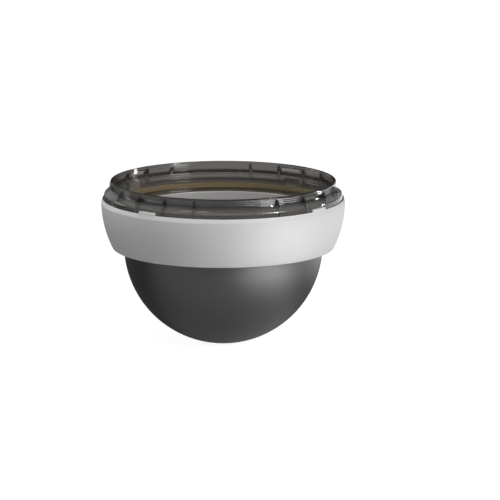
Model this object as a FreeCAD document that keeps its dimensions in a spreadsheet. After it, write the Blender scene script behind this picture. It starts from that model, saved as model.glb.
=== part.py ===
import FreeCAD, Part
import math
import os

import Sketcher

# Smoked dome bubble of a pendant camera, with the white trim ring that is keyed onto it.
# +Z is up and the open collar faces up. The origin is on the axis, in the plane of the rim.
# Radii are measured from the axis, and depths are measured down from the rim.

os.makedirs("parts", exist_ok=True)

SIZES = {
    # Bubble: the dome and the neck above it share one outside radius
    "dome_radius": 76.2,
    "dome_wall": 2.6,
    "dome_centre_depth": 50.0,
    "neck_bevel": 1.2,
    # Bubble: the collar that stands up inside the housing, and the floor that joins it to the neck
    "floor_width": 7.3,
    "collar_wall": 2.8,
    "rim_bevel": 0.7,
    "floor_depth": 21.4,
    "floor_wall": 2.8,
    # Bubble: the shoulder slopes out from the collar to a skirt that hangs over the trim ring
    "shoulder_top_depth": 6.1,
    "shoulder_foot_depth": 9.7,
    "shoulder_reach": 4.7,
    "shoulder_wall": 2.8,
    "skirt_flare": 0.8,
    "skirt_wall": 2.2,
    "skirt_depth": 17.8,
    # Bubble: what repeats at each latching station round the collar
    "station_count": 4,
    "station_turn": 52.0,
    "gusset_wall": 1.6,
    "gusset_top_depth": 1.7,
    "gusset_top_reach": 1.4,
    "gusset_edge_height": 3.3,
    "gusset_foot_lift": 0.8,
    "gusset_set_back": 0.5,
    "inner_gusset_angle": 8.0,
    "outer_gusset_angle": 24.0,
    "keeper_depth": 1.9,
    "keeper_height": 1.1,
    "keeper_reach": 1.3,
    "pocket_angle": 12.4,
    "pocket_land": 0.5,
    "pocket_recess": 1.2,
    # Trim ring: a crowned band with a rebate for the skirt and a foot that closes round the dome
    "ring_top_depth": 13.7,
    "top_bevel_height": 3.1,
    "top_bevel_reach": 0.9,
    "lip_wall": 1.2,
    "band_curve": 81.0,
    "foot_drop": 1.9,
    "foot_reach": 8.0,
    "ring_foot_bevel": 0.8,
    "ring_wall": 2.4,
    "ledge_wall": 2.2,
    "foot_wall": 2.4,
    # Trim ring: the tabs that key it to the notches in the skirt
    "tab_angle": 9.5,
    "tab_rise": 1.7,
    "tab_inset": 1.8,
    "tab_lap": 0.5,
    # Clearances
    "skirt_gap": 0.4,
    "dome_gap": 0.5,
    "key_gap": 0.5,
}


class Size:
    """A length or angle that keeps its formula, so that the document follows the sheet."""

    def __init__(self, formula, value):
        self.formula = formula
        self.value = value

    def __add__(self, other):
        return Size(f"({self.formula} + {other.formula})", self.value + other.value)

    def __sub__(self, other):
        return Size(f"({self.formula} - {other.formula})", self.value - other.value)

    def __mul__(self, other):
        return Size(f"({self.formula} * {other.formula})", self.value * other.value)

    def __truediv__(self, other):
        return Size(f"({self.formula} / {other.formula})", self.value / other.value)

    def drive(self, thing, setting):
        """Binds one property or constraint of an object to the formula."""
        thing.setExpression(setting, self.formula)


def number(value):
    """A fixed number in a formula, such as the 2 of a half."""
    return Size(str(value), value)


def make_sheet(doc):
    """Writes the driving sizes into the sheet and returns them as sizes with formulas."""
    sheet = doc.addObject("Spreadsheet::Sheet", "Sizes")
    sizes = {}
    for row, (name, value) in enumerate(SIZES.items(), start=1):
        sheet.set(f"A{row}", name)
        sheet.set(f"B{row}", str(value))
        sheet.setAlias(f"B{row}", name)
    doc.recompute()
    for name in SIZES:
        sizes[name] = Size(f"Sizes.{name}", sheet.get(name))
    add_fitted_sizes(sizes)
    return sizes


def add_fitted_sizes(size):
    """Adds the sizes that follow from others: the part is built outwards from the dome."""
    size["collar_bore"] = size["dome_radius"] + size["floor_width"]
    size["collar_outside"] = size["collar_bore"] + size["collar_wall"]
    size["collar_middle"] = size["collar_bore"] + size["collar_wall"] / number(2)
    size["shoulder_radius"] = size["collar_outside"] + size["shoulder_reach"]
    size["skirt_radius"] = size["shoulder_radius"] + size["skirt_flare"]
    size["skirt_inside"] = size["shoulder_radius"] - size["skirt_wall"]
    size["lip_inside"] = size["skirt_radius"] + size["skirt_gap"]
    size["band_radius"] = size["lip_inside"] + size["lip_wall"]
    size["foot_inside"] = size["dome_radius"] + size["dome_gap"]
    size["foot_radius"] = size["foot_inside"] + size["foot_reach"]
    size["foot_depth"] = size["dome_centre_depth"] + size["foot_drop"]
    size["tab_top"] = size["ring_top_depth"] - size["tab_rise"]


def origin_feature(body, role):
    """One of a body's own base planes or axes."""
    return next(feature for feature in body.Origin.OriginFeatures if feature.Role == role)


def station_angle(sketch, angle):
    """Turns an upright sketch about the body's own Z axis."""
    turn = FreeCAD.Rotation(FreeCAD.Vector(0, 1, 0), angle.value)
    sketch.AttachmentOffset = FreeCAD.Placement(FreeCAD.Vector(), turn)
    angle.drive(sketch, "AttachmentOffset.Rotation.Angle")


def upright_sketch(body, name):
    """A sketch in the plane of the axis: across is the radius, up is Z."""
    sketch = body.newObject("Sketcher::SketchObject", name)
    sketch.AttachmentSupport = [(origin_feature(body, "XZ_Plane"), "")]
    sketch.MapMode = "FlatFace"
    return sketch


def set_point(sketch, edge, end, radius, depth):
    """Holds one end of an edge at a radius from the axis and a depth below the rim."""
    if radius is None:
        sketch.addConstraint(Sketcher.Constraint("PointOnObject", edge, end, -2))
    elif radius != "free":
        held = sketch.addConstraint(Sketcher.Constraint("DistanceX", -1, 1, edge, end, radius.value))
        radius.drive(sketch, f"Constraints[{held}]")
    if depth is None:
        sketch.addConstraint(Sketcher.Constraint("PointOnObject", edge, end, -1))
    elif depth != "free":
        held = sketch.addConstraint(Sketcher.Constraint("DistanceY", edge, end, -1, 1, depth.value))
        depth.drive(sketch, f"Constraints[{held}]")


def vector(radius, depth):
    """A point of a sketch, from two sizes. None is on the axis or in the plane of the rim."""
    across = radius.value if radius else 0.0
    down = depth.value if depth else 0.0
    return FreeCAD.Vector(across, -down, 0)


def polygon(sketch, corners):
    """A closed outline of straight edges through corners given as radius and depth."""
    points = [vector(*corner) for corner in corners]
    count = len(points)
    edges = []
    for index in range(count):
        line = Part.LineSegment(points[index], points[(index + 1) % count])
        edges.append(sketch.addGeometry(line, False))
    for index in range(count):
        sketch.addConstraint(
            Sketcher.Constraint("Coincident", edges[index], 2, edges[(index + 1) % count], 1)
        )
        set_point(sketch, edges[index], 1, *corners[index])


def chain(sketch, edges):
    """Joins edges end to end. Each is given as its number, its first end and its last end."""
    for index in range(len(edges)):
        edge, _, last = edges[index]
        following, first, _ = edges[(index + 1) % len(edges)]
        sketch.addConstraint(Sketcher.Constraint("Coincident", edge, last, following, first))


def turned(body, kind, name, sketch, angle=None):
    """A revolved or grooved feature about Z, either all the way round or centred on the sketch."""
    feature = body.newObject(kind, name)
    feature.Profile = sketch
    feature.ReferenceAxis = (sketch, ["V_Axis"])
    if angle is None:
        feature.Angle = 360
    else:
        feature.Midplane = True
        feature.Angle = angle.value
        angle.drive(feature, "Angle")
    return feature


def ring_edges(shape, radius, depth):
    """The names of the full circles of one radius at one depth."""
    near = 1e-4
    names = []
    for index, edge in enumerate(shape.Edges, start=1):
        if edge.Degenerated or not isinstance(edge.Curve, Part.Circle):
            continue
        if abs(edge.Curve.Radius - radius.value) > near:
            continue
        if abs(edge.Curve.Center.z + depth) > near:
            continue
        names.append(f"Edge{index}")
    return names


def bevelled(body, name, base, circles, bevel):
    """Breaks circular edges of a turned feature, each given as its radius and depth."""
    edges = []
    for circle_radius, depth in circles:
        edges += ring_edges(base.Shape, circle_radius, depth.value if depth else 0.0)
    if len(edges) != len(circles):
        raise ValueError(f"{name} found {len(edges)} of its {len(circles)} edges")
    feature = body.newObject("PartDesign::Chamfer", name)
    feature.Base = (base, edges)
    feature.Size = bevel.value
    bevel.drive(feature, "Size")
    return feature


def bubble_section(body, size):
    """Half of the bubble's section: dome, neck, floor, collar, shoulder and skirt in one wall."""
    sketch = upright_sketch(body, "bubble_section")
    dome_inside = size["dome_radius"] - size["dome_wall"]
    slope = (size["shoulder_foot_depth"] - size["shoulder_top_depth"]) / size["shoulder_reach"]
    under_collar = size["shoulder_top_depth"] + size["shoulder_wall"]
    under_skirt = under_collar + (size["skirt_inside"] - size["collar_outside"]) * slope
    floor_underside = size["floor_depth"] + size["floor_wall"]
    corners = [
        (dome_inside, size["dome_centre_depth"]),
        (dome_inside, size["floor_depth"]),
        (size["collar_bore"], size["floor_depth"]),
        (size["collar_bore"], None),
        (size["collar_outside"], None),
        (size["collar_outside"], size["shoulder_top_depth"]),
        (size["shoulder_radius"], size["shoulder_foot_depth"]),
        (size["skirt_radius"], size["skirt_depth"]),
        (size["skirt_inside"], size["skirt_depth"]),
        (size["skirt_inside"], under_skirt),
        (size["collar_outside"], under_collar),
        (size["collar_outside"], floor_underside),
        (size["dome_radius"], floor_underside),
        (size["dome_radius"], size["dome_centre_depth"]),
    ]
    walls = open_path(sketch, [vector(*corner) for corner in corners])
    centre = vector(None, size["dome_centre_depth"])
    outer_pole = vector(None, size["dome_centre_depth"] + size["dome_radius"])
    inner_pole = vector(None, size["dome_centre_depth"] + dome_inside)
    outer = sketch.addGeometry(arc_between(centre, outer_pole, vector(*corners[-1])), False)
    inner = sketch.addGeometry(arc_between(centre, inner_pole, vector(*corners[0])), False)
    pole = sketch.addGeometry(Part.LineSegment(outer_pole, inner_pole), False)
    chain(
        sketch,
        [(wall, 1, 2) for wall in walls] + [(outer, 2, 1), (pole, 1, 2), (inner, 1, 2)],
    )
    for wall, corner in zip(walls, corners):
        set_point(sketch, wall, 1, *corner)
    set_point(sketch, walls[-1], 2, *corners[-1])
    for arc in (outer, inner):
        set_point(sketch, arc, 3, None, size["dome_centre_depth"])
        sketch.addConstraint(Sketcher.Constraint("PointOnObject", arc, 1, -2))
    return sketch


def gusset(body, size, angle, name):
    """A thin upright rib that ties the collar to the shoulder and the skirt."""
    edge = size["shoulder_radius"] - size["gusset_set_back"]
    foot = size["skirt_depth"] - size["gusset_foot_lift"]
    sketch = upright_sketch(body, name + "_outline")
    polygon(
        sketch,
        [
            (size["collar_middle"], size["gusset_top_depth"]),
            (size["collar_outside"] + size["gusset_top_reach"], size["gusset_top_depth"]),
            (edge, size["shoulder_foot_depth"] - size["gusset_edge_height"]),
            (edge, foot),
            (size["collar_middle"], foot),
        ],
    )
    station_angle(sketch, angle)
    rib = body.newObject("PartDesign::Pad", name)
    rib.Profile = sketch
    rib.Midplane = True
    rib.Length = size["gusset_wall"].value
    size["gusset_wall"].drive(rib, "Length")
    return rib


def keeper(body, size):
    """A short ridge between the two inner gussets, which the housing's catch hooks under."""
    sketch = upright_sketch(body, "keeper_section")
    edge = size["collar_outside"] + size["keeper_reach"]
    foot = size["keeper_depth"] + size["keeper_height"]
    polygon(
        sketch,
        [
            (size["collar_middle"], size["keeper_depth"]),
            (edge, size["keeper_depth"]),
            (edge, foot),
            (size["collar_middle"], foot),
        ],
    )
    return turned(body, "PartDesign::Revolution", "keeper", sketch, size["inner_gusset_angle"] * number(2))


def latch_pocket(body, size):
    """A shallow recess under the keeper, where the wall is thinner."""
    recess = size["collar_outside"] - size["pocket_recess"]
    clear = size["collar_outside"] + size["keeper_reach"]
    top = size["keeper_depth"] + size["keeper_height"]
    foot = size["shoulder_top_depth"] - size["pocket_land"]
    sketch = upright_sketch(body, "pocket_section")
    polygon(
        sketch,
        [
            (recess, top),
            (clear, top),
            (clear, foot),
            (recess, foot),
        ],
    )
    return turned(body, "PartDesign::Groove", "latch_pocket", sketch, size["pocket_angle"])


def key_notch(body, size):
    """The gap in the skirt that one of the trim ring's tabs stands in."""
    inside = size["skirt_inside"] - size["key_gap"]
    outside = size["skirt_radius"] + size["key_gap"]
    top = size["tab_top"] - size["key_gap"]
    foot = size["skirt_depth"] + size["key_gap"]
    side = size["key_gap"] * number(360 / math.pi) / size["skirt_radius"]
    sketch = upright_sketch(body, "notch_section")
    polygon(
        sketch,
        [
            (inside, top),
            (outside, top),
            (outside, foot),
            (inside, foot),
        ],
    )
    return turned(body, "PartDesign::Groove", "key_notch", sketch, size["tab_angle"] + side)


def round_the_axis(body, size, features):
    """Repeats the features of one station at every station."""
    pattern = body.newObject("PartDesign::PolarPattern", "stations")
    pattern.Originals = features
    pattern.Axis = (origin_feature(body, "Z_Axis"), [""])
    pattern.Angle = 360
    pattern.Occurrences = round(size["station_count"].value)
    size["station_count"].drive(pattern, "Occurrences")
    body.Tip = pattern


def turn_to_station(body, size):
    """Turns a finished body so that its stations stand where they are seen from the front."""
    body.Placement = FreeCAD.Placement(
        FreeCAD.Vector(), FreeCAD.Rotation(FreeCAD.Vector(0, 0, 1), size["station_turn"].value)
    )
    size["station_turn"].drive(body, "Placement.Rotation.Angle")


def check_cut(before, cut):
    """A groove that points away from the wall removes nothing and shows no error."""
    if cut.Shape.Volume >= before.Shape.Volume:
        raise ValueError(f"{cut.Label} cut nothing")


def make_bubble(doc, size):
    """The bubble, moulded in one piece of smoked plastic."""
    body = doc.addObject("PartDesign::Body", "smoked_bubble")
    body.Label = "smoked_bubble"
    shell = turned(body, "PartDesign::Revolution", "bubble_shell", bubble_section(body, size))
    doc.recompute()
    rim_edges = [(size["collar_bore"], None), (size["collar_outside"], None)]
    rim = bevelled(body, "rim_bevel", shell, rim_edges, size["rim_bevel"])
    doc.recompute()
    neck_edge = (size["dome_radius"] - size["dome_wall"], size["floor_depth"])
    bevelled(body, "neck_bevel", rim, [neck_edge], size["neck_bevel"])
    doc.recompute()
    station = []
    for side, turn in (("left", number(-1)), ("right", number(1))):
        for place in ("inner", "outer"):
            angle = size[f"{place}_gusset_angle"] * turn
            station.append(gusset(body, size, angle, f"{side}_{place}_gusset"))
    station.append(keeper(body, size))
    doc.recompute()
    for make_cut in (latch_pocket, key_notch):
        before = station[-1]
        station.append(make_cut(body, size))
        doc.recompute()
        check_cut(before, station[-1])
    round_the_axis(body, size, station)
    turn_to_station(body, size)
    return body


def ring_section(body, size):
    """Half of the trim ring's section: lip, rebate, ledge, crowned band and foot."""
    sketch = upright_sketch(body, "ring_section")
    ledge_inside = size["collar_outside"] + size["skirt_gap"]
    ledge_underside = size["skirt_depth"] + size["ledge_wall"]
    foot_top = size["foot_depth"] - size["foot_wall"]
    top = (size["band_radius"], size["ring_top_depth"] + size["top_bevel_height"])
    foot = (size["foot_radius"], size["foot_depth"])
    centre = arc_centre(vector(*top), vector(*foot), size["band_curve"].value)
    # Anticlockwise: round the foot, then up the crowned band, over the lip and down to the ledge
    foot_corners = [
        (size["foot_inside"], foot_top),
        (size["foot_inside"], size["foot_depth"]),
        foot,
    ]
    lip_corners = [
        top,
        (size["band_radius"] - size["top_bevel_reach"], size["ring_top_depth"]),
        (size["lip_inside"], size["ring_top_depth"]),
        (size["lip_inside"], size["skirt_depth"]),
        (ledge_inside, size["skirt_depth"]),
        (ledge_inside, ledge_underside),
    ]
    # The band's inner wall is two straight slopes, whose three corners lie on a circle inside the band
    inner_depths = [ledge_underside, (ledge_underside + foot_top) / number(2), foot_top]
    inner_curve = size["band_curve"] - size["ring_wall"]
    inner_points = [point_on_arc(centre, inner_curve.value, -depth.value) for depth in inner_depths]
    foot_edges = open_path(sketch, [vector(*corner) for corner in foot_corners])
    crown = sketch.addGeometry(arc_between(centre, vector(*foot), vector(*top)), False)
    lip_points = [vector(*corner) for corner in lip_corners]
    lip_edges = open_path(sketch, lip_points + inner_points + [vector(*foot_corners[0])])
    edges = foot_edges + [crown] + lip_edges
    chain(sketch, [(edge, 1, 2) for edge in edges])
    for edge, corner in zip(edges, foot_corners + lip_corners):
        set_point(sketch, edge, 1, *corner)
    inner_circle = Part.Circle(centre, FreeCAD.Vector(0, 0, 1), inner_curve.value)
    inner = sketch.addGeometry(inner_circle, True)
    for edge, depth in zip(lip_edges[len(lip_corners):], inner_depths):
        set_point(sketch, edge, 1, "free", depth)
        sketch.addConstraint(Sketcher.Constraint("PointOnObject", edge, 1, inner))
    sketch.addConstraint(Sketcher.Constraint("Coincident", crown, 3, inner, 3))
    for curve, radius in ((crown, size["band_curve"]), (inner, inner_curve)):
        held = sketch.addConstraint(Sketcher.Constraint("Radius", curve, radius.value))
        radius.drive(sketch, f"Constraints[{held}]")
    return sketch


def open_path(sketch, points):
    """Straight edges from each point to the next."""
    edges = []
    for start, end in zip(points, points[1:]):
        edges.append(sketch.addGeometry(Part.LineSegment(start, end), False))
    return edges


def arc_centre(top, foot, radius):
    """The centre, on the axis side, of the arc of one radius through two points."""
    chord = top - foot
    middle = (top + foot) * 0.5
    inward = FreeCAD.Vector(-chord.y, chord.x, 0)
    inward.normalize()
    return middle + inward * math.sqrt(radius**2 - (chord.Length / 2) ** 2)


def point_on_arc(centre, radius, height):
    """The point of the arc at one height, on the side away from the axis."""
    across = math.sqrt(radius**2 - (height - centre.y) ** 2)
    return FreeCAD.Vector(centre.x + across, height, 0)


def arc_between(centre, start, end):
    """The arc about a centre, anticlockwise from start to end."""
    circle = Part.Circle(centre, FreeCAD.Vector(0, 0, 1), (start - centre).Length)
    first = math.atan2(start.y - centre.y, start.x - centre.x)
    last = math.atan2(end.y - centre.y, end.x - centre.x)
    return Part.ArcOfCircle(circle, first, last)


def key_tab(body, size):
    """A tab that stands on the ledge, inside the skirt's notch, and laps onto the lip."""
    inside = size["skirt_radius"] - size["tab_inset"]
    outside = size["lip_inside"] + size["tab_lap"]
    root = size["skirt_depth"] + size["ledge_wall"] / number(2)
    sketch = upright_sketch(body, "tab_section")
    polygon(
        sketch,
        [
            (inside, size["tab_top"]),
            (outside, size["tab_top"]),
            (outside, root),
            (inside, root),
        ],
    )
    return turned(body, "PartDesign::Revolution", "key_tab", sketch, size["tab_angle"])


def make_ring(doc, size):
    """The trim ring, moulded in one piece of white plastic."""
    body = doc.addObject("PartDesign::Body", "trim_ring")
    body.Label = "trim_ring"
    band = turned(body, "PartDesign::Revolution", "ring_band", ring_section(body, size))
    doc.recompute()
    foot_edge = (size["foot_radius"], size["foot_depth"])
    bevelled(body, "ring_foot_bevel", band, [foot_edge], size["ring_foot_bevel"])
    doc.recompute()
    tab = key_tab(body, size)
    doc.recompute()
    round_the_axis(body, size, [tab])
    turn_to_station(body, size)
    return body


def check_document(doc, bodies):
    """Stops before anything is written if a feature has failed or a piece isn't one sound solid."""
    for feature in doc.Objects:
        if "Invalid" in feature.State or "Error" in feature.State:
            raise ValueError(f"{feature.Label} failed: {feature.State}")
    for body in bodies:
        shape = body.Shape
        if shape.isNull() or not shape.isValid() or len(shape.Solids) != 1:
            raise ValueError(f"{body.Label} isn't one sound solid")


def main():
    doc = FreeCAD.newDocument("dome_bubble")
    size = make_sheet(doc)
    bodies = [make_bubble(doc, size), make_ring(doc, size)]
    doc.recompute()
    check_document(doc, bodies)
    for body in bodies:
        body.Shape.exportStep(f"parts/{body.Label}.step")
        box = body.Shape.BoundBox
        print(f"{body.Label}: {body.Shape.Volume / 1000:.1f} cm3, Z {box.ZMin:.2f} to {box.ZMax:.2f} mm")


main()
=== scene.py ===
import bpy
import math
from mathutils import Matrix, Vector


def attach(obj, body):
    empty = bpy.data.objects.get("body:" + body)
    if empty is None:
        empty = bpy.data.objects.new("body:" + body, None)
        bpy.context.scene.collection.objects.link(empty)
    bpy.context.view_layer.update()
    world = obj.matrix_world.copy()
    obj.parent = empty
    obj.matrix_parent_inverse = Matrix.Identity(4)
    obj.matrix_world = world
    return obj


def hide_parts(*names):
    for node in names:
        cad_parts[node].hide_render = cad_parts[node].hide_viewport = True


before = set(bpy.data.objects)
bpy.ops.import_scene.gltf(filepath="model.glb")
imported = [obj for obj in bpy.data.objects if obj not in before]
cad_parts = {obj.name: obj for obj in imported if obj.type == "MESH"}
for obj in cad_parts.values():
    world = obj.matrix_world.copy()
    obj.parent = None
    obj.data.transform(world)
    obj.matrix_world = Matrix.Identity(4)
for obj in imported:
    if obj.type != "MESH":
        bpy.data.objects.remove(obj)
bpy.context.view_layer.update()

# Smoked dome bubble of a pendant camera with its white trim ring.
# Metres, in the frame of the CAD: +Z up, the origin on the axis in the plane of the rim.
# Profiles are drawn in the plane of X and Z as (radius, height) and spun about Z.

MM = 0.001

# Steps of a full turn, merging distances, and the sharpest bend in degrees that is shaded smooth

ROUND_STEPS = 288
SAME_POINT = 0.005 * MM
STRAY_POINT = 0.002 * MM
SMOOTH_UP_TO = 32

# Radii, heights and walls of the bubble

DOME_CENTRE = -50.0 * MM
DOME_OUTSIDE = 76.2 * MM
DOME_WALL = 2.6 * MM
DOME_INSIDE = DOME_OUTSIDE - DOME_WALL
DOME_BOTTOM = DOME_CENTRE - DOME_OUTSIDE
COLLAR_WALL = 2.8 * MM
COLLAR_BORE = 83.5 * MM
COLLAR_MIDDLE = COLLAR_BORE + COLLAR_WALL / 2
COLLAR_OUTSIDE = COLLAR_BORE + COLLAR_WALL
RIM = 0.0
FLOOR_TOP = -21.4 * MM
FLOOR_UNDERSIDE = FLOOR_TOP - COLLAR_WALL
SHOULDER = 91.0 * MM
SHOULDER_TOP = -6.1 * MM
SHOULDER_FOOT = -9.7 * MM
UNDER_SHOULDER_TOP = -8.9 * MM
UNDER_SHOULDER_FOOT = -10.815 * MM
SKIRT = 91.8 * MM
SKIRT_WALL = 3.0 * MM
SKIRT_INSIDE = SKIRT - SKIRT_WALL
SKIRT_FOOT = -17.8 * MM

# Fine lines round the collar: their middles, depth, and half widths at the wall and inside

BORE_LINES = [height * MM for height in (-14.8, -12.6, -10.4, -8.7, -6.2, -3.6, -1.9)]
WALL_LINES = [height * MM for height in (-4.9, -3.4, -1.9)]
LINE_DEPTH = 0.16 * MM
LINE_EDGE = 0.60 * MM
LINE_BOTTOM = 0.10 * MM

# Latching stations, in degrees round the axis, and the ribs of each from its middle

STATIONS = [52.0 + quarter * 90.0 for quarter in range(4)]
GUSSETS = [-24.0, -8.0, 8.0, 24.0]
KEEPER_REACH = 87.6 * MM
KEEPER_UNDERSIDE = -3.0 * MM

# Radii, heights and wall of the trim ring, and the middle of its crowned band's arc

RING_TOP = -13.7 * MM
RING_FOOT = -51.9 * MM
RING_WALL = 2.4 * MM
FOOT_TOP = RING_FOOT + RING_WALL
FOOT_BORE = 76.7 * MM
FOOT_EDGE = 84.7 * MM
BAND_RADIUS = 93.4 * MM
BAND_TOP = -16.8 * MM
LIP_OUTSIDE = 92.5 * MM
LIP_CLEARANCE = 0.4 * MM
LIP_INSIDE = SKIRT + LIP_CLEARANCE
LEDGE_BORE = 86.7 * MM
LEDGE_UNDERSIDE = -20.0 * MM
CROWN_CENTRE = (12.412 * MM, -15.355 * MM)

# Plastics and studio

PLASTIC_IOR = 1.49
WHITE = (1.0, 1.0, 1.0, 1.0)
SKY_STRENGTH = 0.12
STUDIO_MIDDLE = (0, 0, -0.06)


def clear_selection():
    """Leaves nothing selected, so that an operator acts only on what comes next."""
    if bpy.context.object and bpy.context.object.mode == "EDIT":
        bpy.ops.object.mode_set(mode="OBJECT")
    bpy.ops.object.select_all(action="DESELECT")


def pick(piece):
    """Makes one piece the selected and active one."""
    clear_selection()
    piece.select_set(True)
    bpy.context.view_layer.objects.active = piece


def start_profile(name, radius, height):
    """A new piece that is one point, in edit mode, ready to be drawn on."""
    clear_selection()
    bpy.ops.mesh.primitive_plane_add(size=1 * MM, location=(0, 0, 0))
    piece = bpy.context.object
    piece.name = name
    piece.data.name = name
    bpy.ops.object.mode_set(mode="EDIT")
    bpy.ops.mesh.select_mode(type="VERT")
    bpy.ops.mesh.select_all(action="SELECT")
    bpy.ops.mesh.merge(type="CENTER")
    bpy.ops.transform.translate(value=(radius, 0, height))
    return piece


def draw_on(start, corners):
    """Extrudes the selected point, which is at the start, from corner to corner."""
    here = start
    for radius, height in corners:
        step = (radius - here[0], 0, height - here[1])
        bpy.ops.mesh.extrude_region_move(TRANSFORM_OT_translate={"value": step})
        here = (radius, height)


def curve_on(centre, turn, steps):
    """Draws an arc from the selected point, turned from +X towards +Z about a centre."""
    bpy.ops.mesh.spin(
        steps=steps,
        angle=math.radians(turn),
        center=(centre[0], 0, centre[1]),
        axis=(0, 1, 0),
    )


def turn_between(centre, start, end):
    """The degrees from one point of a profile to another, seen from a centre."""
    first = math.atan2(start[1] - centre[1], start[0] - centre[0])
    last = math.atan2(end[1] - centre[1], end[0] - centre[0])
    return math.degrees(last - first)


def end_drawing():
    """Points every face outwards and leaves edit mode."""
    bpy.ops.mesh.select_all(action="SELECT")
    bpy.ops.mesh.normals_make_consistent(inside=False)
    bpy.ops.object.mode_set(mode="OBJECT")


def spin_round():
    """Spins the whole profile round Z into a closed skin that faces outwards."""
    bpy.ops.mesh.select_all(action="SELECT")
    bpy.ops.mesh.spin(
        steps=ROUND_STEPS, angle=math.radians(360), center=(0, 0, 0), axis=(0, 0, 1)
    )
    bpy.ops.mesh.select_all(action="SELECT")
    bpy.ops.mesh.remove_doubles(threshold=SAME_POINT)
    end_drawing()


def open_at_edges(piece):
    """Opens a piece in edit mode with no edge selected."""
    pick(piece)
    bpy.ops.object.mode_set(mode="EDIT")
    bpy.ops.mesh.select_mode(type="EDGE")
    bpy.ops.mesh.select_all(action="DESELECT")


def round_off(offset, segments):
    """Rounds the selected edges and leaves edit mode."""
    bpy.ops.mesh.bevel(
        offset=offset, offset_type="OFFSET", segments=segments, profile=0.5, affect="EDGES"
    )
    bpy.ops.object.mode_set(mode="OBJECT")


def lies_on(point, circle):
    """Whether a point is on a circle, given by its radius and height."""
    near = 0.02 * MM
    radius = math.hypot(point.x, point.y)
    return abs(radius - circle[0]) < near and abs(point.z - circle[1]) < near


def round_circles(piece, circles, offset, segments):
    """Rounds the circular edges that lie at the given radii and heights."""
    open_at_edges(piece)
    bpy.ops.object.mode_set(mode="OBJECT")
    mesh = piece.data
    for edge in mesh.edges:
        first, last = (mesh.vertices[i].co for i in edge.vertices)
        edge.select = any(lies_on(first, c) and lies_on(last, c) for c in circles)
    bpy.ops.object.mode_set(mode="EDIT")
    round_off(offset, segments)


def soften_block(piece, offset):
    """Rounds every edge of a small solid a little."""
    open_at_edges(piece)
    bpy.ops.mesh.edges_select_sharp(sharpness=math.radians(25))
    round_off(offset, segments=2)


def flat_face(name, outline):
    """A new piece that is one face with the given corners, selected in edit mode."""
    piece = start_profile(name, *outline[0])
    draw_on(outline[0], outline[1:] + outline[:1])
    bpy.ops.mesh.select_all(action="SELECT")
    bpy.ops.mesh.remove_doubles(threshold=SAME_POINT)
    bpy.ops.mesh.edge_face_add()
    bpy.ops.mesh.select_all(action="SELECT")
    return piece


def plate(name, outline, thickness):
    """An upright plate in the plane of X and Z, as thick as given across Y."""
    piece = flat_face(name, outline)
    bpy.ops.mesh.extrude_region_move(TRANSFORM_OT_translate={"value": (0, thickness, 0)})
    bpy.ops.mesh.select_all(action="SELECT")
    bpy.ops.transform.translate(value=(0, -thickness / 2, 0))
    end_drawing()
    return piece


def curved_block(name, outline, angle, steps):
    """A block that follows the wall round: an outline spun by an angle, centred on X."""
    piece = flat_face(name, outline)
    bpy.ops.mesh.spin(steps=steps, angle=math.radians(angle), center=(0, 0, 0), axis=(0, 0, 1))
    end_drawing()
    centre_on_x(piece)
    return piece


def rectangle(inner, outer, foot, top):
    """The corners of an upright rectangle, from its inner foot round."""
    return [(inner, foot), (outer, foot), (outer, top), (inner, top)]


def centre_on_x(piece):
    """Turns a block about Z until its middle lies on X, whichever way it was spun."""
    middle = sum((v.co for v in piece.data.vertices), Vector()) / len(piece.data.vertices)
    turn_about_z(piece, -math.degrees(math.atan2(middle.y, middle.x)))


def turn_about_z(piece, angle):
    """Turns a piece about Z and puts the turn into its mesh."""
    pick(piece)
    piece.rotation_euler = (0, 0, math.radians(angle))
    bpy.ops.object.transform_apply(location=False, rotation=True, scale=False)


def copied_round(piece, angles):
    """Copies a piece to several angles about Z and joins the copies into one."""
    copies = []
    for angle in angles:
        pick(piece)
        bpy.ops.object.duplicate()
        twin = bpy.context.object
        turn_about_z(twin, angle)
        copies.append(twin)
    clear_selection()
    bpy.data.objects.remove(piece)
    for twin in copies:
        twin.select_set(True)
    bpy.context.view_layer.objects.active = copies[0]
    bpy.ops.object.join()
    return copies[0]


def combine(piece, tool, operation):
    """Fuses or cuts with a tool piece, which is used up."""
    pick(piece)
    step = piece.modifiers.new("combine", "BOOLEAN")
    step.operation = operation
    step.solver = "EXACT"
    step.object = tool
    bpy.ops.object.modifier_apply(modifier=step.name)
    bpy.data.objects.remove(tool)


def finish_skin(piece):
    """Merges stray points, then smooths the shading where the skin turns gently."""
    pick(piece)
    bpy.ops.object.mode_set(mode="EDIT")
    bpy.ops.mesh.select_all(action="SELECT")
    bpy.ops.mesh.remove_doubles(threshold=STRAY_POINT)
    bpy.ops.object.mode_set(mode="OBJECT")
    bpy.ops.object.shade_smooth_by_angle(
        angle=math.radians(SMOOTH_UP_TO), keep_sharp_edges=False
    )
    weighted = piece.modifiers.new("even shading", "WEIGHTED_NORMAL")
    weighted.keep_sharp = True
    weighted.weight = 80
    bpy.ops.object.modifier_apply(modifier=weighted.name)


# Bubble


def fine_lines(wall, heights, depth):
    """The corners of shallow lines round a wall, from the foot of the lowest one upwards."""
    corners = []
    for height in heights:
        corners += [
            (wall, height - LINE_EDGE),
            (wall + depth, height - LINE_BOTTOM),
            (wall + depth, height + LINE_BOTTOM),
            (wall, height + LINE_EDGE),
        ]
    return corners


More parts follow.
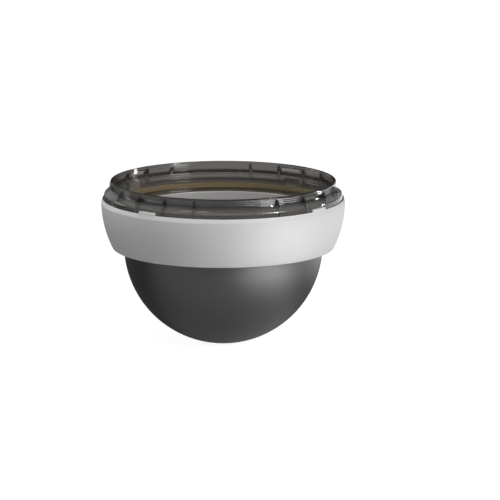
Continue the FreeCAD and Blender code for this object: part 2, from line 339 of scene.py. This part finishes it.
def make_bubble():
    """The smoked moulding: dome, neck, floor, collar, shoulder and skirt, with its stations."""
    dome_middle = (0.0, DOME_CENTRE)
    piece = start_profile("smoked_bubble_moulding", 0.0, DOME_BOTTOM)
    curve_on(dome_middle, turn=90, steps=56)
    draw_on(
        (DOME_OUTSIDE, DOME_CENTRE),
        [
            (DOME_OUTSIDE, FLOOR_UNDERSIDE),
            (COLLAR_OUTSIDE, FLOOR_UNDERSIDE),
            (COLLAR_OUTSIDE, UNDER_SHOULDER_TOP),
            (SKIRT_INSIDE, UNDER_SHOULDER_FOOT),
            (SKIRT_INSIDE, SKIRT_FOOT),
            (SKIRT, SKIRT_FOOT),
            (SHOULDER, SHOULDER_FOOT),
            (COLLAR_OUTSIDE, SHOULDER_TOP),
            *fine_lines(COLLAR_OUTSIDE, WALL_LINES, -LINE_DEPTH),
            (COLLAR_OUTSIDE, RIM),
            (COLLAR_BORE, RIM),
            *reversed(fine_lines(COLLAR_BORE, BORE_LINES, LINE_DEPTH)),
            (COLLAR_BORE, FLOOR_TOP),
            (DOME_INSIDE, FLOOR_TOP),
            (DOME_INSIDE, DOME_CENTRE),
        ],
    )
    curve_on(dome_middle, turn=-90, steps=52)
    spin_round()

    rim = [(COLLAR_BORE, RIM), (COLLAR_OUTSIDE, RIM)]
    neck_mouth = [(DOME_INSIDE, FLOOR_TOP)]
    shoulder_edge = [(SHOULDER, SHOULDER_FOOT)]
    wall_feet = [
        (COLLAR_BORE, FLOOR_TOP),
        (COLLAR_OUTSIDE, SHOULDER_TOP),
        (COLLAR_OUTSIDE, FLOOR_UNDERSIDE),
        (DOME_OUTSIDE, FLOOR_UNDERSIDE),
    ]
    skirt_edges = [(SKIRT, SKIRT_FOOT), (SKIRT_INSIDE, SKIRT_FOOT)]
    round_circles(piece, rim, 0.75 * MM, segments=4)
    round_circles(piece, neck_mouth, 1.3 * MM, segments=5)
    round_circles(piece, shoulder_edge, 0.9 * MM, segments=3)
    round_circles(piece, wall_feet, 0.6 * MM, segments=3)
    round_circles(piece, skirt_edges, 0.3 * MM, segments=2)

    combine(piece, gussets(), "UNION")
    combine(piece, keepers(), "UNION")
    combine(piece, latch_pockets(), "DIFFERENCE")
    combine(piece, key_notches(), "DIFFERENCE")
    finish_skin(piece)
    return piece


def gussets():
    """The thin upright ribs that tie the collar to the shoulder and the skirt."""
    edge = 90.5 * MM
    top_corner = 87.7 * MM
    foot = -17.0 * MM
    slope_foot = -6.4 * MM
    top = -1.7 * MM
    outline = [
        (COLLAR_MIDDLE, foot),
        (edge, foot),
        (edge, slope_foot),
        (top_corner, top),
        (COLLAR_MIDDLE, top),
    ]
    rib = plate("gusset", outline, thickness=1.6 * MM)
    soften_block(rib, 0.32 * MM)
    return copied_round(rib, [station + angle for station in STATIONS for angle in GUSSETS])


def keepers():
    """The short ridges that the housing's catches hook under."""
    top = -1.9 * MM
    outline = rectangle(COLLAR_MIDDLE, KEEPER_REACH, KEEPER_UNDERSIDE, top)
    ridge = curved_block("keeper", outline, angle=16.0, steps=12)
    soften_block(ridge, 0.2 * MM)
    return copied_round(ridge, STATIONS)


def latch_pockets():
    """The shallow recesses under the keepers, where the wall is thinner."""
    wall_left = 1.6 * MM
    foot = -5.6 * MM
    outline = rectangle(COLLAR_BORE + wall_left, KEEPER_REACH, foot, KEEPER_UNDERSIDE)
    pocket = curved_block("latch_pocket", outline, angle=12.4, steps=10)
    return copied_round(pocket, STATIONS)


def key_notches():
    """The gaps in the skirt that the ring's tabs stand in."""
    past = 0.5 * MM
    top = -11.5 * MM
    outline = rectangle(SKIRT_INSIDE - past, SKIRT + past, SKIRT_FOOT - past, top)
    notch = curved_block("key_notch", outline, angle=10.12, steps=8)
    return copied_round(notch, STATIONS)


# Trim ring


def make_ring():
    """The white moulding: crowned band, lip and rebate, ledge and foot, with its key tabs."""
    bore_foot = (FOOT_BORE, RING_FOOT)
    bore_top = (FOOT_BORE, FOOT_TOP)
    band_foot = (FOOT_EDGE, RING_FOOT)
    band_top = (BAND_RADIUS, BAND_TOP)
    lip = [(LIP_OUTSIDE, RING_TOP), (LIP_INSIDE, RING_TOP)]
    back_of_band = [
        (90.875 * MM, LEDGE_UNDERSIDE),
        (88.58 * MM, -34.75 * MM),
        (83.2 * MM, FOOT_TOP),
    ]
    piece = start_profile("trim_ring_moulding", *bore_foot)
    draw_on(bore_foot, [band_foot])
    curve_on(CROWN_CENTRE, turn_between(CROWN_CENTRE, band_foot, band_top), steps=18)
    draw_on(
        band_top,
        [
            *lip,
            (LIP_INSIDE, SKIRT_FOOT),
            (LEDGE_BORE, SKIRT_FOOT),
            (LEDGE_BORE, LEDGE_UNDERSIDE),
            *back_of_band,
            bore_top,
            bore_foot,
        ],
    )
    spin_round()
    round_circles(piece, [band_foot], 0.9 * MM, segments=4)
    round_circles(piece, [band_top], 0.5 * MM, segments=3)
    round_circles(piece, lip, 0.12 * MM, segments=2)
    round_circles(piece, [bore_foot, bore_top], 0.3 * MM, segments=2)
    combine(piece, key_tabs(), "UNION")
    finish_skin(piece)
    return piece


def key_tabs():
    """The tabs that stand on the ledge, in the skirt's notches, and lap onto the lip."""
    inner = 90.0 * MM
    outer = 92.7 * MM
    foot = -18.9 * MM
    top = -12.0 * MM
    tab = curved_block("key_tab", rectangle(inner, outer, foot, top), angle=9.5, steps=8)
    soften_block(tab, 0.25 * MM)
    return copied_round(tab, STATIONS)


# Materials. A look is a material or the world.


def link(look, source, target):
    """Joins one node's output to another one's input."""
    look.node_tree.links.new(source, target)


def calculate(look, operation, first, second):
    """One sum of two numbers, either of which may come from another node."""
    node = look.node_tree.nodes.new("ShaderNodeMath")
    node.operation = operation
    for socket, value in zip(node.inputs, (first, second)):
        if isinstance(value, (int, float)):
            socket.default_value = value
        else:
            link(look, value, socket)
    return node.outputs["Value"]


def seen_itself(look):
    """1 where the camera, gloss or clear plastic shows a surface, and 0 where it only lights."""
    rays = look.node_tree.nodes.new("ShaderNodeLightPath").outputs
    seen = calculate(look, "MAXIMUM", rays["Is Camera Ray"], rays["Is Glossy Ray"])
    return calculate(look, "MAXIMUM", seen, rays["Is Transmission Ray"])


def new_material(name):
    """A material with only its output and its shader."""
    material = bpy.data.materials.new(name)
    material.use_nodes = True
    nodes = material.node_tree.nodes
    nodes.clear()
    output = nodes.new("ShaderNodeOutputMaterial")
    shader = nodes.new("ShaderNodeBsdfPrincipled")
    link(material, shader.outputs["BSDF"], output.inputs["Surface"])
    return material, shader


def place_on(material):
    """The place on the piece, in Object coordinates."""
    return material.node_tree.nodes.new("ShaderNodeTexCoord").outputs["Object"]


def along(material, where, axis):
    """The part of a place that lies along X, Y or Z."""
    node = material.node_tree.nodes.new("ShaderNodeSeparateXYZ")
    link(material, where, node.inputs["Vector"])
    return node.outputs[axis]


def blend_by(material, amount, low, high):
    """A number that runs from low to high as the amount runs from 0 to 1."""
    node = material.node_tree.nodes.new("ShaderNodeMapRange")
    node.inputs["To Min"].default_value = low
    node.inputs["To Max"].default_value = high
    link(material, amount, node.inputs["Value"])
    return node.outputs["Result"]


def step_between(material, value, start, end):
    """Runs smoothly from 0 where the value is start to 1 where it is end."""
    node = material.node_tree.nodes.new("ShaderNodeMapRange")
    node.interpolation_type = "SMOOTHSTEP"
    node.inputs["From Min"].default_value = start
    node.inputs["From Max"].default_value = end
    link(material, value, node.inputs["Value"])
    return node.outputs["Result"]


def grain(material, where, scale, detail=3.0, roughness=0.5):
    """Noise over the piece."""
    node = material.node_tree.nodes.new("ShaderNodeTexNoise")
    node.inputs["Scale"].default_value = scale
    node.inputs["Detail"].default_value = detail
    node.inputs["Roughness"].default_value = roughness
    link(material, where, node.inputs["Vector"])
    return node.outputs["Fac"]


def tint_between(material, amount, low, high):
    """A colour that runs from low to high as the amount runs from 0 to 1."""
    node = material.node_tree.nodes.new("ShaderNodeMix")
    node.data_type = "RGBA"
    link(material, amount, node.inputs["Factor"])
    first, last = [socket for socket in node.inputs if socket.type == "RGBA"]
    first.default_value = (*low, 1.0)
    last.default_value = (*high, 1.0)
    return [socket for socket in node.outputs if socket.type == "RGBA"][0]


def relief(material, height, distance, strength):
    """Turns a height from a pattern into fine relief on the surface."""
    node = material.node_tree.nodes.new("ShaderNodeBump")
    node.inputs["Strength"].default_value = strength
    node.inputs["Distance"].default_value = distance
    link(material, height, node.inputs["Height"])
    return node.outputs["Normal"]


def by_height(material, where, stops):
    """A colour that follows the height over the piece, by stops of (millimetres, colour)."""
    low, high = stops[0][0], stops[-1][0]
    nodes = material.node_tree.nodes
    share = nodes.new("ShaderNodeMapRange")
    share.inputs["From Min"].default_value = low * MM
    share.inputs["From Max"].default_value = high * MM
    link(material, along(material, where, "Z"), share.inputs["Value"])
    ramp = nodes.new("ShaderNodeValToRGB")
    link(material, share.outputs["Result"], ramp.inputs["Fac"])
    elements = ramp.color_ramp.elements
    while len(elements) < len(stops):
        elements.new(0.5)
    for element, (height, colour) in zip(elements, stops):
        element.position = (height - low) / (high - low)
        element.color = (*colour, 1.0)
    return ramp.outputs["Color"]


def grey(value):
    """A neutral colour, or a plain number for a ramp of colours."""
    return (value, value, value)


def smoked_plastic():
    """Grey smoke: a clear collar, painted pale in its middle and with a painted warm reflection
    at its foot, a neck painted pale and nearly opaque for the lit white ring behind it, and a
    satin dome.
    """
    material, shader = new_material("smoked_plastic")
    where = place_on(material)
    smudges = grain(material, where, scale=26.0)
    fine = grain(material, where, scale=900.0, detail=2.0)

    # From the dome up to the rim: heights in millimetres, tint, and how clear it is. The tints
    # of the neck, floor, collar foot and collar wall are partly painted light.
    dome_top, neck_foot = -51.0, -48.0
    zones = [
        ((dome_top,), (0.100, 0.099, 0.102), 0.60),  # dome
        ((neck_foot, -22.2), (0.83, 0.81, 0.80), 0.26),  # neck, painted pale and nearly opaque: painted light standing in for the lit white ring seen through it
        ((-21.8, -20.9), (0.42, 0.36, 0.28), 0.95),  # floor, darker and warm: the bottom of the painted warm reflection
        ((-20.5, -18.6), (0.90, 0.71, 0.40), 0.76),  # foot of the collar, tinted warm: a painted reflection
        ((-13.6, -6.6), (0.92, 0.90, 0.88), 0.935),  # collar's wall, skirt and shoulder: clear plastic whose pale diffuse share is painted light, standing in for the light inside the cavity behind
        ((-6.0,), (0.34, 0.33, 0.325), 0.965),  # top of the collar and its rim
    ]
    tints = [(height, tint) for heights, tint, _ in zones for height in heights]
    clearness = [(height, grey(clear)) for heights, _, clear in zones for height in heights]
    link(material, by_height(material, where, tints), shader.inputs["Base Color"])
    link(material, by_height(material, where, clearness), shader.inputs["Transmission Weight"])

    on_dome = by_height(material, where, [(dome_top, grey(1.0)), (neck_foot, grey(0.0))])
    polish = blend_by(material, smudges, low=0.012, high=0.030)
    satin = blend_by(material, smudges, low=0.29, high=0.36)
    spread = calculate(material, "SUBTRACT", satin, polish)
    spread = calculate(material, "MULTIPLY", spread, on_dome)
    bumps = relief(material, fine, distance=0.02 * MM, strength=0.25)
    link(material, calculate(material, "ADD", polish, spread), shader.inputs["Roughness"])
    link(material, bumps, shader.inputs["Normal"])
    shader.inputs["IOR"].default_value = PLASTIC_IOR

    smoke = material.node_tree.nodes.new("ShaderNodeVolumeAbsorption")
    smoke.inputs["Color"].default_value = (0.30, 0.28, 0.25, 1.0)
    smoke.inputs["Density"].default_value = 540.0
    inside = material.node_tree.nodes["Material Output"].inputs["Volume"]
    link(material, smoke.outputs["Volume"], inside)
    return material


def white_plastic():
    """Satin white moulding with a fine spark-eroded grain."""
    material, shader = new_material("white_plastic")
    where = place_on(material)
    clouds = grain(material, where, scale=14.0, detail=4.0, roughness=0.6)
    fine = grain(material, where, scale=1800.0, detail=2.0)
    tint = tint_between(material, clouds, (0.785, 0.775, 0.777), (0.812, 0.803, 0.805))
    satin = blend_by(material, clouds, low=0.47, high=0.56)
    bumps = relief(material, fine, distance=0.03 * MM, strength=0.35)
    link(material, tint, shader.inputs["Base Color"])
    link(material, satin, shader.inputs["Roughness"])
    link(material, bumps, shader.inputs["Normal"])
    shader.inputs["IOR"].default_value = PLASTIC_IOR
    return material


# Studio


def make_floor():
    """A plain pale floor, near white where it is seen, that keeps the object's soft shadow."""
    clear_selection()
    bpy.ops.mesh.primitive_plane_add(size=12, location=(0, 0, DOME_BOTTOM))
    floor = bpy.context.object
    floor.name = "studio_floor"
    material, shader = new_material("studio_floor")
    shader.inputs["Base Color"].default_value = (*grey(0.86), 1.0)
    shader.inputs["Roughness"].default_value = 0.9
    shader.inputs["Emission Color"].default_value = (*grey(0.90), 1.0)
    link(material, seen_itself(material), shader.inputs["Emission Strength"])
    floor.data.materials.append(material)


def make_world():
    """White to the camera, to gloss and through clear plastic, and a dim sky for plain light."""
    world = bpy.data.worlds.new("studio")
    bpy.context.scene.world = world
    world.use_nodes = True
    nodes = world.node_tree.nodes
    nodes.clear()
    output = nodes.new("ShaderNodeOutputWorld")
    either = nodes.new("ShaderNodeMixShader")
    share, dim, bright = either.inputs
    link(world, seen_itself(world), share)
    for strength, socket in ((SKY_STRENGTH, dim), (1.0, bright)):
        sky = nodes.new("ShaderNodeBackground")
        sky.inputs["Color"].default_value = WHITE
        sky.inputs["Strength"].default_value = strength
        link(world, sky.outputs["Background"], socket)
    link(world, either.outputs["Shader"], output.inputs["Surface"])


def softbox(name, place, size, power):
    """A rectangular studio lamp that points at the middle of the object."""
    lamp = bpy.data.lights.new(name, "AREA")
    lamp.shape = "RECTANGLE"
    lamp.size, lamp.size_y = size
    lamp.energy = power
    stand = bpy.data.objects.new(name, lamp)
    bpy.context.scene.collection.objects.link(stand)
    towards = Vector(STUDIO_MIDDLE) - Vector(place)
    stand.location = place
    stand.rotation_euler = towards.to_track_quat("-Z", "Y").to_euler()
    return stand


def glowing_material(name):
    """A dark matt material with a white glow, whose strength a pattern sets."""
    material, shader = new_material(name)
    shader.inputs["Base Color"].default_value = (*grey(0.02), 1.0)
    shader.inputs["Roughness"].default_value = 1.0
    shader.inputs["Emission Color"].default_value = WHITE
    return material, shader


def show_in_gloss_only(surface, material):
    """Dresses a studio surface that only glossy surfaces reflect and the camera never sees."""
    surface.data.materials.append(material)
    surface.visible_camera = False
    surface.visible_diffuse = False
    surface.visible_transmission = False
    surface.visible_shadow = False


def pool(material, where, centre, reach, core, strength):
    """A round pool of light on a level sheet, which fades from its core to its reach."""
    away = material.node_tree.nodes.new("ShaderNodeVectorMath")
    away.operation = "DISTANCE"
    away.inputs[1].default_value = (*centre, 0.0)
    link(material, where, away.inputs[0])
    lit = step_between(material, away.outputs["Value"], reach, core)
    return calculate(material, "MULTIPLY", lit, strength)


def make_gloss_floor():
    """What gloss reflects from below: dark behind, pale in front and at the right, two pools."""
    clear_selection()
    bpy.ops.mesh.primitive_plane_add(size=6, location=(0, 0, DOME_BOTTOM + 1 * MM))
    sheet = bpy.context.object
    sheet.name = "gloss_floor"
    material, shader = glowing_material("gloss_floor")
    where = place_on(material)
    front = step_between(material, along(material, where, "Y"), start=0.01, end=-0.12)
    front = calculate(material, "MULTIPLY", front, 0.9)
    side = step_between(material, along(material, where, "X"), start=0.08, end=0.30)
    side = calculate(material, "MULTIPLY", side, 1.5)
    pale = calculate(material, "MAXIMUM", front, side)
    highlight = pool(material, where, (0.215, -0.195), reach=0.22, core=0.02, strength=8.0)
    lower_glow = pool(material, where, (0.075, -0.030), reach=0.09, core=0.0, strength=0.45)
    pools = calculate(material, "ADD", highlight, lower_glow)
    glow = calculate(material, "ADD", pale, pools)
    everywhere = 0.06
    glow = calculate(material, "ADD", glow, everywhere)
    link(material, glow, shader.inputs["Emission Strength"])
    show_in_gloss_only(sheet, material)


def make_gloss_tent():
    """A dim tent, paler in front and at both sides, so that edges don't reflect a white sky."""
    clear_selection()
    bpy.ops.mesh.primitive_uv_sphere_add(segments=32, ring_count=16, radius=2.6)
    tent = bpy.context.object
    tent.name = "gloss_tent"
    material, shader = glowing_material("gloss_tent")
    where = place_on(material)
    forward = step_between(material, along(material, where, "Y"), start=0.5, end=-2.5)
    front = blend_by(material, forward, low=0.03, high=0.45)
    aside = calculate(material, "ABSOLUTE", along(material, where, "X"), 0.0)
    sides = step_between(material, aside, start=0.35, end=1.2)
    sides = blend_by(material, sides, low=0.0, high=0.50)
    glow = calculate(material, "MAXIMUM", front, sides)
    link(material, glow, shader.inputs["Emission Strength"])
    show_in_gloss_only(tent, material)


def light_only(lamps, name, pieces):
    """Links lamps to the given pieces, so that they light nothing else."""
    lit = bpy.data.collections.new(name)
    for piece in pieces:
        lit.objects.link(piece)
    for lamp in lamps:
        lamp.light_linking.receiver_collection = lit


def make_lights(bubble, ring):
    """A key at the right, a top light for the two pieces, an edge light, and two sparks."""
    softbox("key_softbox", place=(0.94, -0.78, 0.46), size=(0.55, 0.60), power=7.2)
    top = softbox("top_softbox", place=(-0.34, -0.12, 1.10), size=(0.60, 0.50), power=10.5)
    top.visible_glossy = False
    light_only([top], "top_lit", [bubble, ring])
    softbox("edge_softbox", place=(-1.15, 0.55, 0.22), size=(0.45, 0.55), power=1.4)
    sparks = [
        softbox("spark_in_front", place=(1.05, -0.74, 0.62), size=(0.17, 0.17), power=20),
        softbox("spark_behind", place=(1.15, 0.42, 0.16), size=(0.14, 0.14), power=10),
    ]
    for spark in sparks:
        spark.visible_diffuse = False
    light_only(sparks, "sparkling", [bubble])


def make_camera():
    """The photograph's view, through a long lens from a little above the horizon."""
    aim = Vector((0.0205, 0.0, -0.0547))
    tilt = math.radians(11.1)
    distance = 3.0
    lens = bpy.data.cameras.new("camera")
    lens.sensor_width = 36.0
    lens.lens = 281.6
    lens.clip_start = 0.05
    camera = bpy.data.objects.new("camera", lens)
    bpy.context.scene.collection.objects.link(camera)
    camera.location = aim + distance * Vector((0, -math.cos(tilt), math.sin(tilt)))
    camera.rotation_euler = (math.radians(90) - tilt, 0, 0)
    bpy.context.scene.camera = camera


def dress(piece, node, material):
    """Gives a finished piece its material and puts it in place of its CAD node."""
    piece.data.materials.clear()
    piece.data.materials.append(material)
    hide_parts(node)
    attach(piece, "root")


bpy.context.scene.view_settings.view_transform = "Standard"
make_camera()
make_world()
make_floor()
bubble = make_bubble()
dress(bubble, "smoked_bubble", smoked_plastic())
ring = make_ring()
dress(ring, "trim_ring", white_plastic())
make_lights(bubble, ring)
make_gloss_floor()
make_gloss_tent()
